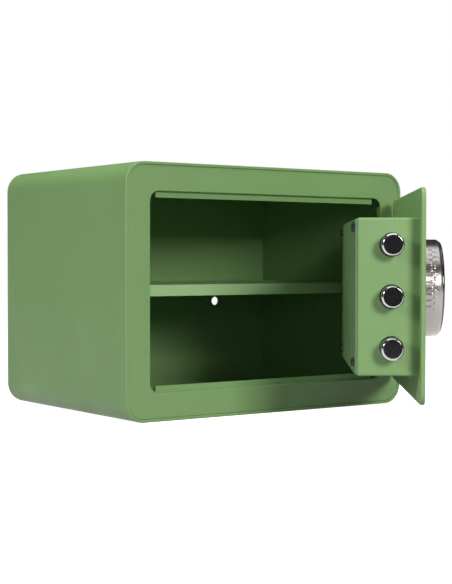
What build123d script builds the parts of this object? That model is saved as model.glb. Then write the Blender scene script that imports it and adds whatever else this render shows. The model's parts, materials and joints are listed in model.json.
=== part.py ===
"""A small home safe: welded cabinet with a shelf, and a hinged door that carries the lock and its bolts.

Millimetres. +X is to the right, +Y to the back and +Z up, seen by someone facing the door. The origin is
the centre of the flat base. The door stands open: its pieces are modelled with the door shut and then
swung about the hinge line. The knob stands at its unlocked end, so that the bolts are drawn in.
"""
from build123d import *
import os

# Cabinet
WIDTH = 350.0
DEPTH = 250.0
HEIGHT = 250.0
CORNER_RADIUS = 21.0
WALL = 3.0
RIM_ROUNDING = 0.9
PANEL_GAUGE = 2.5
PANEL_SET_BACK = 1.0

OPENING_WIDTH = 294.0
OPENING_HEIGHT = 194.0
OPENING_RADIUS = 10.0
STOP_GAUGE = 2.0
STOP_DEPTH = 4.5
STOP_LIP = 6.0
STOP_RELIEF = 9.0

ANCHOR_SPACING = 200.0
ANCHOR_HEIGHT = 106.0
ANCHOR_RADIUS = 5.0

SHELF_TOP = 130.5
SHELF_FRONT = -57.0
SHELF_GAUGE = 1.5
SHELF_LIP = 11.7
SHELF_SIDE_GAP = 0.5
SUPPORT_LEG = 12.0
SUPPORT_GAUGE = 2.0

# Hinge
HINGE_X = 162.0
HINGE_Y = -111.0
HINGE_HEIGHTS = {"lower": 64.0, "upper": 184.0}
PIN_RADIUS = 3.5
PIN_CLEARANCE = 0.05
ARM_HEIGHT = 18.0
ARM_GAUGE = 5.0
ARM_INNER_RADIUS = 24.0
ARM_SPOKE_ANGLE = 85.0
ARM_FOOT_LENGTH = 20.0
ARM_FOOT_GAUGE = 4.0
HUB_RADIUS = 7.0
BRACKET_GAUGE = 3.0
BRACKET_PLAY = 0.3
DOOR_ANGLE = 52.5

# Door plate and lock box, door shut
DOOR_LEFT = -145.5
DOOR_RIGHT = 143.0
DOOR_BOTTOM = 28.7
DOOR_TOP = 219.7
DOOR_GAUGE = 4.0
DOOR_RADIUS = 10.0
BOX_LEFT = -129.0
BOX_RIGHT = 111.0
BOX_BOTTOM = 53.5
BOX_TOP = 193.5
BOX_DEPTH = 54.5
BOX_GAUGE = 1.5
BOX_RETURN = 3.0
BOX_FOLD = 2.0
COVER_INSET = 1.0
COVER_SCREW_XS = (-108.0, 96.0)
COVER_SCREW_ZS = (63.7, 185.6)
COVER_SCREW_RADIUS = 2.0
COVER_HEAD_RADIUS = 4.7
COVER_HEAD_HEIGHT = 2.8
POST_RADIUS = 3.0

# Bolt work
BOLT_RADIUS = 10.0
BOLT_LENGTH = 50.0
BOLT_TIP = -145.0
BOLT_SETBACK = 24.4
BOLT_SPACING = 45.7
BOLT_MIDDLE = 123.8
BOLT_TRAVEL = 18.0
BOLT_HOLE_RADIUS = 11.0
BOLT_CHAMFER = 1.6
GUIDE_CLEARANCE = 0.08
GUIDE_LEFT = -122.0
GUIDE_GAUGE = 2.0
BAR_GAUGE = 3.0
BAR_FRONT = -110.0
BAR_FLANGE_BACK = -83.0
BAR_FLANGE_MARGIN = 9.0
ARM_BOTTOM = 137.0
ARM_TOP = 158.0
ARM_END = 20.0
GUIDE_POST_XS = (-75.0, -40.0)
GUIDE_POST_RADIUS = 3.0
SLOT_CLEARANCE = 0.3
NOTCH_DEPTH = 5.0

# Knob, spindle and cam
KNOB_X = -1.25
KNOB_Z = 129.0
KNOB_RADIUS = 47.3
KNOB_RIM = 25.4
KNOB_FACE_RADIUS = 45.0
KNOB_FACE_TOP = 29.0
KNOB_WALL = 4.0
KNOB_GAP = 0.3
KNOB_BASE_GAUGE = 1.2
KNOB_EDGE = 1.2
KNOB_FLOOR = 3.0
RIM_BEVEL = 1.6
FACE_SEAT = 2.0
FACE_ROUNDING = 1.8
SOCKET_HEIGHT = 6.0
SOCKET_WALL = 3.0
SPINDLE_RADIUS = 6.0
SPINDLE_BORE = 2.5
SPINDLE_END = -98.5
CAM_RADIUS = 18.0
CAM_FRONT = -106.0
CAM_GAUGE = 4.0
CAM_HUB_RADIUS = 11.0
CAM_PIN_RADIUS = 3.0
CAM_START_ANGLE = 30.0
CLIP_GAUGE = 1.2
CLIP_GAP = 5.0

# Solenoid
SOLENOID_X = -55.0
SOLENOID_BOTTOM = 100.0
SOLENOID_TOP = 128.0
SOLENOID_WIDTH = 22.0
SOLENOID_DEPTH = 17.0
PLUNGER_RADIUS = 3.0
PLUNGER_TOP = 136.0
PLUNGER_LENGTH = 30.0
COLLAR_RADIUS = 5.0
COLLAR_TOP = 132.6
COLLAR_GAUGE = 1.2
SPRING_RADIUS = 3.9
SPRING_WIRE = 0.35
SPRING_TURNS = 3

# Electronics
BOARD_LEFT = 28.0
BOARD_RIGHT = 88.0
BOARD_BOTTOM = 124.0
BOARD_TOP = 180.0
BOARD_STANDOFF = 5.0
BOARD_GAUGE = 1.6
BOARD_HOLE_INSET = 4.0
TOUCH_FILM = 2.0
PLUG_LENGTH = 10.0
PLUG_WIDTH = 6.0
PLUG_HEIGHT = 5.0
CHIP_SIZE = 16.0
CHIP_HEIGHT = 2.0
CHIP_PLACE = (56.0, 156.0)
BATTERY_PLUG = (46.0, 130.0)
SOLENOID_PLUG = (62.0, 130.0)
PANEL_PLUG = (36.0, 150.0)
TRAY_LEFT = 24.0
TRAY_RIGHT = 86.0
TRAY_BOTTOM = 58.0
TRAY_TOP = 118.0
TRAY_DEPTH = 18.0
TRAY_WALL = 1.5
CELL_RADIUS = 7.0
CELL_LENGTH = 48.5
CELL_COUNT = 4
CELL_TIP_RADIUS = 2.75
CELL_TIP_LENGTH = 1.2
CONTACT_HALF = 4.0
LID_GRIP = (16.0, 5.0)
LID_GRIP_DEPTH = 0.8
LID_GRIP_INSET = 8.0
RESET_X = 76.0
RESET_Z = 168.0
RESET_RADIUS = 3.0
RESET_SUNK = 0.5
SWITCH_SIZE = 6.0
SWITCH_HEIGHT = 4.0
SWITCH_STROKE = 2.0
WIRE_RADIUS = 1.2
PANEL_LEAD_Y = -90.0
SOLENOID_LEAD_Z = 104.0

# Worked out from the above
FRONT = -DEPTH / 2
BACK = DEPTH / 2
PANEL_FRONT = FRONT + PANEL_SET_BACK
PANEL_BACK = PANEL_FRONT + PANEL_GAUGE
INNER_X = WIDTH / 2 - WALL
DOOR_FRONT = PANEL_FRONT
DOOR_BACK = DOOR_FRONT + DOOR_GAUGE
BOX_BACK = DOOR_BACK + BOX_DEPTH
COVER_BACK = BOX_BACK + BOX_GAUGE
BOLT_Y = DOOR_BACK + BOLT_SETBACK
BOLT_ZS = [BOLT_MIDDLE + step * BOLT_SPACING for step in (1, 0, -1)]
BAR_LEFT = BOLT_TIP + BOLT_LENGTH
BAR_BACK = BAR_FRONT + BAR_GAUGE
BAR_MIDDLE = (BAR_FRONT + BAR_BACK) / 2
ARM_MIDDLE = (ARM_BOTTOM + ARM_TOP) / 2
CAM_BACK = CAM_FRONT + CAM_GAUGE
BOARD_FRONT = DOOR_BACK + BOARD_STANDOFF
BOARD_BACK = BOARD_FRONT + BOARD_GAUGE
TRAY_FRONT = BOX_BACK - TRAY_DEPTH
BOX_X = (BOX_LEFT + BOX_RIGHT) / 2
BOX_Z = (BOX_BOTTOM + BOX_TOP) / 2
BOX_WIDTH = BOX_RIGHT - BOX_LEFT
BOX_HEIGHT = BOX_TOP - BOX_BOTTOM
COVER_SCREWS = [(x, z) for x in COVER_SCREW_XS for z in COVER_SCREW_ZS]
HINGE_LINE = Axis((HINGE_X, HINGE_Y, 0), (0, 0, 1))
KNOB_AXIS = Axis((KNOB_X, DOOR_FRONT, KNOB_Z), (0, -1, 0))
# Profiles turned about the knob's axis: x is the radius, y the height out of the door's front face
KNOB_PROFILE = Plane(origin=(KNOB_X, DOOR_FRONT, KNOB_Z), x_dir=(1, 0, 0), z_dir=(0, 0, -1))

os.makedirs("parts", exist_ok=True)


def facing(y):
    """Sketch plane parallel to the door at depth y. Extruding from it goes to the front."""
    return Plane.XZ.offset(-y)


def box_between(low, high, mode=Mode.ADD):
    """A block from its lowest to its highest corner, in the part being built."""
    size = [b - a for a, b in zip(low, high)]
    centre = tuple((a + b) / 2 for a, b in zip(low, high))
    with Locations(centre):
        return Box(*size, mode=mode)


def swing_open(piece):
    """Turn a door piece from where it lies with the door shut to where it stands with the door open."""
    piece.part = piece.part.rotate(HINGE_LINE, DOOR_ANGLE)


# ---------------------------------------------------------------- cabinet

with BuildPart() as shell:
    with BuildSketch(facing(BACK)):
        with Locations((0, HEIGHT / 2)):
            RectangleRounded(WIDTH, HEIGHT, CORNER_RADIUS)
            RectangleRounded(2 * INNER_X, HEIGHT - 2 * WALL, CORNER_RADIUS - WALL, mode=Mode.SUBTRACT)
    extrude(amount=DEPTH)
    rim_edges = shell.edges().group_by(Axis.Y)
    fillet(rim_edges[0] + rim_edges[-1], radius=RIM_ROUNDING)
shell.part.label = "shell"
export_step(shell.part, "parts/shell.step")

# The front panel closes the shell around the doorway. All round the doorway its sheet is folded back, cut
# short at the corners. At the top and bottom it is folded inwards again, as a lip that stops the door.
with BuildPart() as front_frame:
    with BuildSketch(facing(PANEL_BACK)):
        with Locations((0, HEIGHT / 2)):
            RectangleRounded(2 * INNER_X, HEIGHT - 2 * WALL, CORNER_RADIUS - WALL)
            RectangleRounded(OPENING_WIDTH, OPENING_HEIGHT, OPENING_RADIUS, mode=Mode.SUBTRACT)
    extrude(amount=PANEL_GAUGE)
    fillet(front_frame.edges().group_by(Axis.Y)[0], radius=RIM_ROUNDING)
    for side in (-1, 1):
        upright = Vector(side, 0, 0)
        edge = Vector(0, PANEL_BACK, HEIGHT / 2) + upright * OPENING_WIDTH / 2
        with BuildSketch(Plane(origin=edge, x_dir=upright, z_dir=upright.cross(Vector(0, 1, 0)))):
            Rectangle(STOP_GAUGE, STOP_DEPTH, align=Align.MIN)
        extrude(amount=OPENING_HEIGHT / 2 - STOP_RELIEF, both=True)
        level = Vector(0, 0, side)
        edge = Vector(0, PANEL_BACK, HEIGHT / 2) + level * OPENING_HEIGHT / 2
        with BuildSketch(Plane(origin=edge, x_dir=level, z_dir=level.cross(Vector(0, 1, 0)))):
            with BuildLine():
                Polyline(
                    (0, 0),
                    (STOP_GAUGE, 0),
                    (STOP_GAUGE, STOP_DEPTH),
                    (-STOP_LIP, STOP_DEPTH),
                    (-STOP_LIP, STOP_DEPTH - STOP_GAUGE),
                    (0, STOP_DEPTH - STOP_GAUGE),
                    close=True,
                )
            make_face()
        extrude(amount=OPENING_WIDTH / 2 - STOP_RELIEF, both=True)
front_frame.part.label = "front_frame"
export_step(front_frame.part, "parts/front_frame.step")

with BuildPart() as back_panel:
    with BuildSketch(facing(BACK - PANEL_SET_BACK)):
        with Locations((0, HEIGHT / 2)):
            RectangleRounded(2 * INNER_X, HEIGHT - 2 * WALL, CORNER_RADIUS - WALL)
        with Locations((-ANCHOR_SPACING / 2, ANCHOR_HEIGHT), (ANCHOR_SPACING / 2, ANCHOR_HEIGHT)):
            Circle(ANCHOR_RADIUS, mode=Mode.SUBTRACT)
    extrude(amount=PANEL_GAUGE)
back_panel.part.label = "back_panel"
export_step(back_panel.part, "parts/back_panel.step")

# A folded sheet with a lip turned down at its front and back edges
shelf_back = BACK - PANEL_SET_BACK - PANEL_GAUGE - SHELF_SIDE_GAP
shelf_bottom = SHELF_TOP - SHELF_GAUGE
with BuildPart() as shelf:
    with BuildSketch(Plane.YZ):
        with BuildLine():
            Polyline(
                (SHELF_FRONT, SHELF_TOP - SHELF_LIP),
                (SHELF_FRONT, SHELF_TOP),
                (shelf_back, SHELF_TOP),
                (shelf_back, SHELF_TOP - SHELF_LIP),
                (shelf_back - SHELF_GAUGE, SHELF_TOP - SHELF_LIP),
                (shelf_back - SHELF_GAUGE, shelf_bottom),
                (SHELF_FRONT + SHELF_GAUGE, shelf_bottom),
                (SHELF_FRONT + SHELF_GAUGE, SHELF_TOP - SHELF_LIP),
                close=True,
            )
        make_face()
    extrude(amount=INNER_X - SHELF_SIDE_GAP, both=True)
    fillet(shelf.edges().filter_by(Axis.X).group_by(Axis.Z)[-1], radius=SHELF_GAUGE)
shelf.part.label = "shelf"
export_step(shelf.part, "parts/shelf.step")

# One angle on each side wall. The shelf lies loose on them.
support_start = SHELF_FRONT + 4.0
support_run = shelf_back - SHELF_GAUGE - 1.0 - support_start
with BuildPart() as shelf_support_left:
    with BuildSketch(facing(support_start + support_run)):
        with BuildLine():
            Polyline(
                (-INNER_X, shelf_bottom),
                (-INNER_X + SUPPORT_LEG, shelf_bottom),
                (-INNER_X + SUPPORT_LEG, shelf_bottom - SUPPORT_GAUGE),
                (-INNER_X + SUPPORT_GAUGE, shelf_bottom - SUPPORT_GAUGE),
                (-INNER_X + SUPPORT_GAUGE, shelf_bottom - SUPPORT_LEG),
                (-INNER_X, shelf_bottom - SUPPORT_LEG),
                close=True,
            )
        make_face()
    extrude(amount=support_run)
shelf_support_left.part.label = "shelf_support_left"
export_step(shelf_support_left.part, "parts/shelf_support_left.step")

with BuildPart() as shelf_support_right:
    mirror(shelf_support_left.part, about=Plane.YZ)
shelf_support_right.part.label = "shelf_support_right"
export_step(shelf_support_right.part, "parts/shelf_support_right.step")

# Each hinge: a U bracket on the side wall, a pin through its two ears, and the door's arm between them
ear_gap = ARM_HEIGHT / 2 + BRACKET_PLAY
for place, height in HINGE_HEIGHTS.items():
    with BuildPart() as hinge_bracket:
        for ear_bottom in (height + ear_gap, height - ear_gap - BRACKET_GAUGE):
            with BuildSketch(Plane.XY.offset(ear_bottom)):
                with Locations((HINGE_X, HINGE_Y)):
                    Circle(HUB_RADIUS + 1)
                with Locations(((HINGE_X + INNER_X) / 2, HINGE_Y)):
                    Rectangle(INNER_X - HINGE_X, 2 * HUB_RADIUS + 2)
                with Locations((HINGE_X, HINGE_Y)):
                    Circle(PIN_RADIUS, mode=Mode.SUBTRACT)
            extrude(amount=BRACKET_GAUGE)
        box_between(
            (INNER_X - SUPPORT_GAUGE, HINGE_Y - HUB_RADIUS - 1, height - ear_gap),
            (INNER_X, HINGE_Y + HUB_RADIUS + 1, height + ear_gap),
        )
    hinge_bracket.part.label = f"hinge_bracket_{place}"
    export_step(hinge_bracket.part, f"parts/hinge_bracket_{place}.step")

    with BuildPart() as hinge_pin:
        with BuildSketch(Plane.XY.offset(height - ear_gap - BRACKET_GAUGE - 1)):
            with Locations((HINGE_X, HINGE_Y)):
                Circle(PIN_RADIUS)
        extrude(amount=2 * (ear_gap + BRACKET_GAUGE) + 1)
        with BuildSketch(Plane.XY.offset(height + ear_gap + BRACKET_GAUGE)):
            with Locations((HINGE_X, HINGE_Y)):
                Circle(PIN_RADIUS + 2)
        extrude(amount=2)
        fillet(hinge_pin.edges().group_by(Axis.Z)[-1], radius=0.8)
    hinge_pin.part.label = f"hinge_pin_{place}"
    export_step(hinge_pin.part, f"parts/hinge_pin_{place}.step")

# ---------------------------------------------------------------- door

with BuildPart() as door_plate:
    with BuildSketch(facing(DOOR_BACK)):
        with Locations(((DOOR_LEFT + DOOR_RIGHT) / 2, (DOOR_BOTTOM + DOOR_TOP) / 2)):
            RectangleRounded(DOOR_RIGHT - DOOR_LEFT, DOOR_TOP - DOOR_BOTTOM, DOOR_RADIUS)
    extrude(amount=DOOR_GAUGE)
    plate_edges = door_plate.edges().group_by(Axis.Y)
    fillet(plate_edges[0] + plate_edges[-1], radius=0.7)
    with BuildSketch(facing(DOOR_BACK)):
        with Locations((KNOB_X, KNOB_Z)):
            Circle(SPINDLE_RADIUS + 3)
    extrude(amount=DOOR_GAUGE, mode=Mode.SUBTRACT)
swing_open(door_plate)
door_plate.part.label = "door_plate"
export_step(door_plate.part, "parts/door_plate.step")

# Each arm is a strip on edge: a foot on the door plate, a bend round the stop of the doorway, and a hub on
# the pin, which it reaches from behind so that nothing meets the front panel when the door is wide open.
arm_outer_radius = ARM_INNER_RADIUS + ARM_GAUGE
arm_foot_y = DOOR_BACK - HINGE_Y
arm_sweep = 180 - ARM_SPOKE_ANGLE
for place, height in HINGE_HEIGHTS.items():
    with BuildPart() as hinge_arm:
        with BuildSketch(Plane((HINGE_X, HINGE_Y, height - ARM_HEIGHT / 2))):
            with BuildLine():
                outer_bend = CenterArc((0, 0), arm_outer_radius, ARM_SPOKE_ANGLE, arm_sweep)
                Polyline(
                    outer_bend @ 1,
                    (-arm_outer_radius, arm_foot_y + ARM_FOOT_GAUGE),
                    (-arm_outer_radius - ARM_FOOT_LENGTH, arm_foot_y + ARM_FOOT_GAUGE),
                    (-arm_outer_radius - ARM_FOOT_LENGTH, arm_foot_y),
                    (-ARM_INNER_RADIUS, arm_foot_y),
                    (-ARM_INNER_RADIUS, 0),
                )
                inner_bend = CenterArc((0, 0), ARM_INNER_RADIUS, 180, -arm_sweep)
                Line(inner_bend @ 1, outer_bend @ 0)
            make_face()
            with PolarLocations(arm_outer_radius / 2, 1, start_angle=ARM_SPOKE_ANGLE):
                Rectangle(arm_outer_radius, ARM_GAUGE)
            Circle(HUB_RADIUS)
            Circle(PIN_RADIUS + PIN_CLEARANCE, mode=Mode.SUBTRACT)
        extrude(amount=ARM_HEIGHT)
    swing_open(hinge_arm)
    hinge_arm.part.label = f"hinge_arm_{place}"
    export_step(hinge_arm.part, f"parts/hinge_arm_{place}.step")

# Folded steel box over the lock. Its walls turn inwards at the back as a ledge for the cover.
with BuildPart() as lock_box:
    box_between((BOX_LEFT, DOOR_BACK, BOX_BOTTOM), (BOX_RIGHT, BOX_BACK, BOX_TOP))
    fillet(lock_box.edges().filter_by(Axis.Y) + lock_box.edges().group_by(Axis.Y)[-1], radius=BOX_FOLD)
    box_between(
        (BOX_LEFT + BOX_GAUGE, DOOR_BACK, BOX_BOTTOM + BOX_GAUGE),
        (BOX_RIGHT - BOX_GAUGE, BOX_BACK - BOX_GAUGE, BOX_TOP - BOX_GAUGE),
        mode=Mode.SUBTRACT,
    )
    return_edge = BOX_GAUGE + BOX_RETURN
    box_between(
        (BOX_LEFT + return_edge, BOX_BACK - BOX_GAUGE, BOX_BOTTOM + return_edge),
        (BOX_RIGHT - return_edge, BOX_BACK, BOX_TOP - return_edge),
        mode=Mode.SUBTRACT,
    )
    with BuildSketch(Plane.YZ.offset(BOX_LEFT)):
        with Locations(*[(BOLT_Y, z) for z in BOLT_ZS]):
            Circle(BOLT_HOLE_RADIUS)
    extrude(amount=BOX_GAUGE, mode=Mode.SUBTRACT)
swing_open(lock_box)
lock_box.part.label = "lock_box"
export_step(lock_box.part, "parts/lock_box.step")

# Flat cover, with a cut-out over the batteries, a hole for the reset button and one for each screw
lid_width = TRAY_RIGHT - TRAY_LEFT - 2 * TRAY_WALL
lid_height = TRAY_TOP - TRAY_BOTTOM - 2 * TRAY_WALL
lid_centre = ((TRAY_LEFT + TRAY_RIGHT) / 2, (TRAY_BOTTOM + TRAY_TOP) / 2)
with BuildPart() as lock_cover:
    with BuildSketch(facing(COVER_BACK)):
        with Locations((BOX_X, BOX_Z)):
            RectangleRounded(BOX_WIDTH - 2 * COVER_INSET, BOX_HEIGHT - 2 * COVER_INSET, BOX_FOLD)
        with Locations(lid_centre):
            RectangleRounded(lid_width, lid_height, 2, mode=Mode.SUBTRACT)
        with Locations((RESET_X, RESET_Z)):
            Circle(RESET_RADIUS + SLOT_CLEARANCE, mode=Mode.SUBTRACT)
        with Locations(*COVER_SCREWS):
            Circle(COVER_SCREW_RADIUS, mode=Mode.SUBTRACT)
    extrude(amount=BOX_GAUGE)
swing_open(lock_cover)
lock_cover.part.label = "lock_cover"
export_step(lock_cover.part, "parts/lock_cover.step")

screw_reach = 12.0
with BuildPart() as cover_posts:
    with BuildSketch(facing(BOX_BACK)):
        with Locations(*COVER_SCREWS):
            Circle(POST_RADIUS)
    extrude(amount=BOX_DEPTH)
    with BuildSketch(facing(BOX_BACK)):
        with Locations(*COVER_SCREWS):
            Circle(COVER_SCREW_RADIUS)
    extrude(amount=screw_reach, mode=Mode.SUBTRACT)
swing_open(cover_posts)
cover_posts.part.label = "cover_posts"
export_step(cover_posts.part, "parts/cover_posts.step")

with BuildPart() as cover_screws:
    with BuildSketch(facing(COVER_BACK)):
        with Locations(*COVER_SCREWS):
            Circle(COVER_SCREW_RADIUS)
    extrude(amount=BOX_GAUGE + screw_reach)
    with BuildSketch(facing(COVER_BACK + COVER_HEAD_HEIGHT)):
        with Locations(*COVER_SCREWS):
            Circle(COVER_HEAD_RADIUS)
    extrude(amount=COVER_HEAD_HEIGHT)
    fillet(cover_screws.edges().group_by(Axis.Y)[-1], radius=COVER_HEAD_HEIGHT * 0.75)
    with BuildSketch(facing(COVER_BACK + COVER_HEAD_HEIGHT)):
        with Locations(*COVER_SCREWS):
            RegularPolygon(1.4, 6)
    extrude(amount=1.5, mode=Mode.SUBTRACT)
swing_open(cover_screws)
cover_screws.part.label = "cover_screws"
export_step(cover_screws.part, "parts/cover_screws.step")

# ---------------------------------------------------------------- bolts and what guides them

for place, z in zip(("upper", "middle", "lower"), BOLT_ZS):
    with BuildPart() as bolt:
        with BuildSketch(Plane.YZ.offset(BOLT_TIP)):
            with Locations((BOLT_Y, z)):
                Circle(BOLT_RADIUS)
        extrude(amount=BOLT_LENGTH)
        chamfer(bolt.edges().group_by(Axis.X)[0], length=BOLT_CHAMFER)
        with BuildSketch(Plane.YZ.offset(BAR_LEFT)):
            with Locations((BOLT_Y, z)):
                Circle(PIN_RADIUS)
        extrude(amount=-screw_reach, mode=Mode.SUBTRACT)
    swing_open(bolt)
    bolt.part.label = f"bolt_{place}"
    export_step(bolt.part, f"parts/bolt_{place}.step")

# Flange behind the bolts, and a flat arm that reaches above the spindle: an upright slot for the cam's
# pin, two level slots on the guide posts, and a notch below for the solenoid at each end of the travel
pin_x = KNOB_X + BOLT_TRAVEL / 2
pin_low = KNOB_Z + (CAM_RADIUS**2 - (BOLT_TRAVEL / 2) ** 2) ** 0.5
pin_high = KNOB_Z + CAM_RADIUS
slot_half = GUIDE_POST_RADIUS + SLOT_CLEARANCE
pin_slot_half = CAM_PIN_RADIUS + 0.5
with BuildPart() as bolt_bar:
    box_between(
        (BAR_LEFT, BAR_FRONT, BOLT_ZS[-1] - BAR_FLANGE_MARGIN),
        (BAR_LEFT + BAR_GAUGE, BAR_FLANGE_BACK, BOLT_ZS[0] + BAR_FLANGE_MARGIN),
    )
    box_between((BAR_LEFT, BAR_FRONT, ARM_BOTTOM), (ARM_END, BAR_BACK, ARM_TOP))
    with BuildSketch(facing(BAR_BACK)):
        with Locations(*[(x + BOLT_TRAVEL / 2, ARM_MIDDLE) for x in GUIDE_POST_XS]):
            SlotCenterToCenter(BOLT_TRAVEL + 2 * SLOT_CLEARANCE, 2 * slot_half)
        with Locations((pin_x, (pin_low + pin_high) / 2)):
            SlotCenterToCenter(pin_high - pin_low + 2 * SLOT_CLEARANCE, 2 * pin_slot_half, rotation=90)
        with Locations(*[(SOLENOID_X + shift, ARM_BOTTOM + NOTCH_DEPTH / 2) for shift in (0, BOLT_TRAVEL)]):
            Rectangle(2 * (PLUNGER_RADIUS + SLOT_CLEARANCE), NOTCH_DEPTH)
    extrude(amount=BAR_GAUGE, mode=Mode.SUBTRACT)
    with BuildSketch(Plane.YZ.offset(BAR_LEFT)):
        with Locations(*[(BOLT_Y, z) for z in BOLT_ZS]):
            Circle(PIN_RADIUS)
    extrude(amount=BAR_GAUGE, mode=Mode.SUBTRACT)
swing_open(bolt_bar)
bolt_bar.part.label = "bolt_bar"
export_step(bolt_bar.part, "parts/bolt_bar.step")

with BuildPart() as bolt_screws:
    with BuildSketch(Plane.YZ.offset(BAR_LEFT - screw_reach)):
        with Locations(*[(BOLT_Y, z) for z in BOLT_ZS]):
            Circle(PIN_RADIUS)
    extrude(amount=screw_reach + BAR_GAUGE)
    with BuildSketch(Plane.YZ.offset(BAR_LEFT + BAR_GAUGE)):
        with Locations(*[(BOLT_Y, z) for z in BOLT_ZS]):
            Circle(PIN_RADIUS + 2)
            RegularPolygon(2.9, 6, mode=Mode.SUBTRACT)
    extrude(amount=4)
swing_open(bolt_screws)
bolt_screws.part.label = "bolt_screws"
export_step(bolt_screws.part, "parts/bolt_screws.step")

guide_margin = 11.5
with BuildPart() as bolt_guide:
    box_between(
        (GUIDE_LEFT, DOOR_BACK, BOLT_ZS[-1] - guide_margin),
        (GUIDE_LEFT + GUIDE_GAUGE, BOLT_Y + BOLT_RADIUS + 5, BOLT_ZS[0] + guide_margin),
    )
    box_between(
        (GUIDE_LEFT, DOOR_BACK, BOLT_ZS[-1] - BAR_FLANGE_MARGIN),
        (GUIDE_LEFT + 16, DOOR_BACK + GUIDE_GAUGE, BOLT_ZS[0] + BAR_FLANGE_MARGIN),
    )
    with BuildSketch(Plane.YZ.offset(GUIDE_LEFT)):
        with Locations(*[(BOLT_Y, z) for z in BOLT_ZS]):
            Circle(BOLT_RADIUS + GUIDE_CLEARANCE)
    extrude(amount=GUIDE_GAUGE, mode=Mode.SUBTRACT)
swing_open(bolt_guide)
bolt_guide.part.label = "bolt_guide"
export_step(bolt_guide.part, "parts/bolt_guide.step")

with BuildPart() as guide_posts:
    for radius, y_low, y_high in (
        (GUIDE_POST_RADIUS + 2, DOOR_BACK, BAR_FRONT - SLOT_CLEARANCE),
        (GUIDE_POST_RADIUS, BAR_FRONT - SLOT_CLEARANCE, BAR_BACK + SLOT_CLEARANCE),
        (GUIDE_POST_RADIUS + 2, BAR_BACK + SLOT_CLEARANCE, BAR_BACK + SLOT_CLEARANCE + 1.5),
    ):
        with BuildSketch(facing(y_high)):
            with Locations(*[(x, ARM_MIDDLE) for x in GUIDE_POST_XS]):
                Circle(radius)
        extrude(amount=y_high - y_low)
swing_open(guide_posts)
guide_posts.part.label = "guide_posts"
export_step(guide_posts.part, "parts/guide_posts.step")

# ---------------------------------------------------------------- knob, spindle and cam

# Thin ring under the knob that keeps it off the paint
knob_start = KNOB_BASE_GAUGE + KNOB_GAP
with BuildPart() as knob_base:
    with BuildSketch(facing(DOOR_FRONT)):
        with Locations((KNOB_X, KNOB_Z)):
            Circle(KNOB_RADIUS - 4)
            Circle(SPINDLE_RADIUS + 3, mode=Mode.SUBTRACT)
    extrude(amount=KNOB_BASE_GAUGE)
swing_open(knob_base)
knob_base.part.label = "knob_base"
export_step(knob_base.part, "parts/knob_base.step")

with BuildPart() as spindle_bush:
    for radius, y_low, y_high in (
        (SPINDLE_RADIUS + 3, DOOR_FRONT, DOOR_BACK),
        (SPINDLE_RADIUS + 7, DOOR_BACK, DOOR_BACK + 2),
    ):
        with BuildSketch(facing(y_high)):
            with Locations((KNOB_X, KNOB_Z)):
                Circle(radius)
                Circle(SPINDLE_RADIUS + PIN_CLEARANCE, mode=Mode.SUBTRACT)
        extrude(amount=y_high - y_low)
swing_open(spindle_bush)
spindle_bush.part.label = "spindle_bush"
export_step(spindle_bush.part, "parts/spindle_bush.step")

# Turned metal cup: side wall with a chamfered front edge, floor, and a socket for the spindle
knob_floor = knob_start + KNOB_FLOOR
socket_top = knob_floor + SOCKET_HEIGHT
face_seat = KNOB_RIM - FACE_SEAT
with BuildPart() as knob_ring:
    with BuildSketch(KNOB_PROFILE):
        with BuildLine():
            Polyline(
                (SPINDLE_RADIUS, knob_start),
                (KNOB_RADIUS - KNOB_EDGE, knob_start),
                (KNOB_RADIUS, knob_start + KNOB_EDGE),
                (KNOB_RADIUS, KNOB_RIM),
                (KNOB_FACE_RADIUS + 0.6, KNOB_RIM + RIM_BEVEL),
                (KNOB_FACE_RADIUS, KNOB_RIM + RIM_BEVEL),
                (KNOB_FACE_RADIUS, face_seat),
                (KNOB_RADIUS - KNOB_WALL, face_seat),
                (KNOB_RADIUS - KNOB_WALL, knob_floor),
                (SPINDLE_RADIUS + SOCKET_WALL, knob_floor),
                (SPINDLE_RADIUS + SOCKET_WALL, socket_top),
                (SPINDLE_RADIUS, socket_top),
                close=True,
            )
        make_face()
    revolve(axis=KNOB_AXIS)
swing_open(knob_ring)
knob_ring.part.label = "knob_ring"
export_step(knob_ring.part, "parts/knob_ring.step")

# Black touch panel with a rounded edge, standing a little out of the ring
with BuildPart() as knob_face:
    with BuildSketch(KNOB_PROFILE):
        with BuildLine():
            round_start = (KNOB_FACE_RADIUS, KNOB_FACE_TOP - FACE_ROUNDING)
            round_end = (KNOB_FACE_RADIUS - FACE_ROUNDING, KNOB_FACE_TOP)
            Polyline((0, KNOB_FACE_TOP), (0, face_seat), (KNOB_FACE_RADIUS, face_seat), round_start)
            RadiusArc(round_start, round_end, -FACE_ROUNDING)
            Line(round_end, (0, KNOB_FACE_TOP))
        make_face()
    revolve(axis=KNOB_AXIS)
swing_open(knob_face)
knob_face.part.label = "knob_face"
export_step(knob_face.part, "parts/knob_face.step")

# Round board behind the panel, with a pad of touch film between them
with BuildPart() as knob_board:
    with BuildSketch(facing(DOOR_FRONT - face_seat + TOUCH_FILM + BOARD_GAUGE)):
        with Locations((KNOB_X, KNOB_Z)):
            Circle(KNOB_FACE_RADIUS - KNOB_WALL)
    extrude(amount=BOARD_GAUGE)
    with BuildSketch(facing(DOOR_FRONT - face_seat + TOUCH_FILM)):
        with Locations((KNOB_X, KNOB_Z)):
            Circle(KNOB_FACE_RADIUS - KNOB_WALL - 1)
    extrude(amount=TOUCH_FILM)
swing_open(knob_board)
knob_board.part.label = "knob_board"
export_step(knob_board.part, "parts/knob_board.step")

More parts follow.
